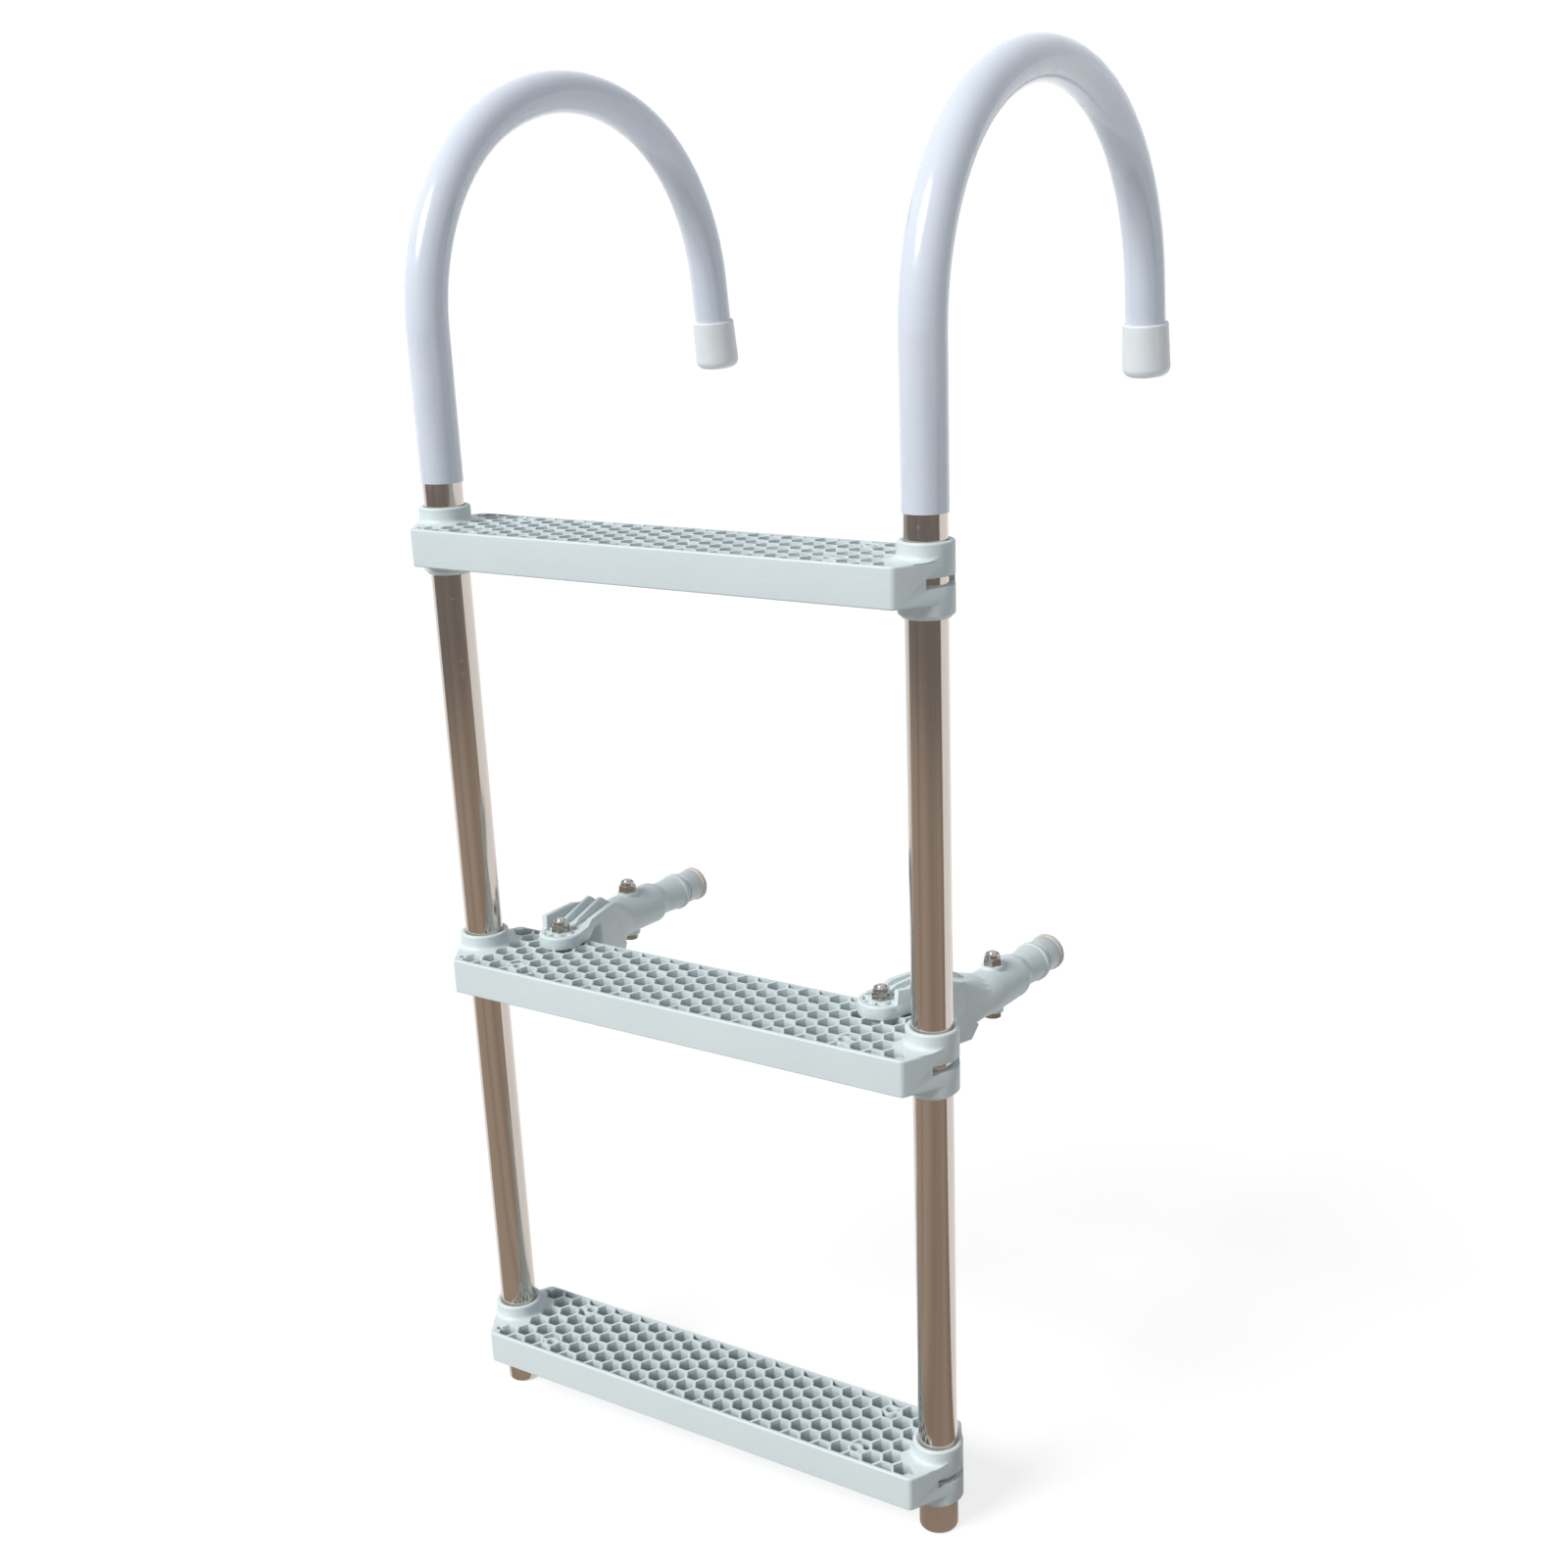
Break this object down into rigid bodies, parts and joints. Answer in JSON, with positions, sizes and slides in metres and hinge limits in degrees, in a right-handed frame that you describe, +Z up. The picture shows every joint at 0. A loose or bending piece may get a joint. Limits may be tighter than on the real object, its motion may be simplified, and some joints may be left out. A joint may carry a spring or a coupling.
{
  "type": "boat ladder",
  "caption": "Hook-on boat ladder: bent tube rails with sleeved hooks, moulded honeycomb steps and swinging stand-off arms.",
  "frame": {"origin": "on the gunwale seat: midway between the two hooks, at the height of the underside of their sleeved crowns", "axes": "+Z up along the rails, +Y from the climber's side towards the boat, +X to the right for someone who faces the steps from the climber's side"},
  "size_m": [0.3854, 0.3684, 0.9191],
  "materials": {
    "rail_metal": "polished and anodised tube",
    "hook_sleeve": "glossy soft vinyl sleeve",
    "hook_tip": "soft milky vinyl cap",
    "step_plastic": "satin moulded plastic",
    "tube_plastic": "satin plastic tube",
    "pad_rubber": "pale soft rubber",
    "stainless": "polished stainless fasteners"
  },
  "bodies": {
    "ladder_frame": {"left_rail": "rail_metal", "right_rail": "rail_metal", "left_hook_sleeve": "hook_sleeve", "right_hook_sleeve": "hook_sleeve", "left_hook_tip": "hook_tip", "right_hook_tip": "hook_tip", "top_step": "step_plastic", "middle_step": "step_plastic", "bottom_step": "step_plastic"},
    "left_arm": {"left_standoff_arm": "step_plastic", "left_standoff_tube": "tube_plastic", "left_standoff_pad": "pad_rubber", "left_pivot_bolt": "stainless", "left_pivot_nut": "stainless", "left_clamp_bolt": "stainless", "left_clamp_nut": "stainless"},
    "right_arm": {"right_standoff_arm": "step_plastic", "right_standoff_tube": "tube_plastic", "right_standoff_pad": "pad_rubber", "right_pivot_bolt": "stainless", "right_pivot_nut": "stainless", "right_clamp_bolt": "stainless", "right_clamp_nut": "stainless"}
  },
  "joints": [
    {"name": "left_arm_pivot", "type": "hinge", "parent": "ladder_frame", "child": "left_arm", "pos_m": [-0.1274, -0.1321, -0.555], "axis": [0, 0, 1], "range_deg": [-44.8, 23.2]},
    {"name": "right_arm_pivot", "type": "hinge", "parent": "ladder_frame", "child": "right_arm", "pos_m": [0.1274, -0.1321, -0.555], "axis": [0, 0, -1], "range_deg": [-55.6, 12.4]}
  ]
}
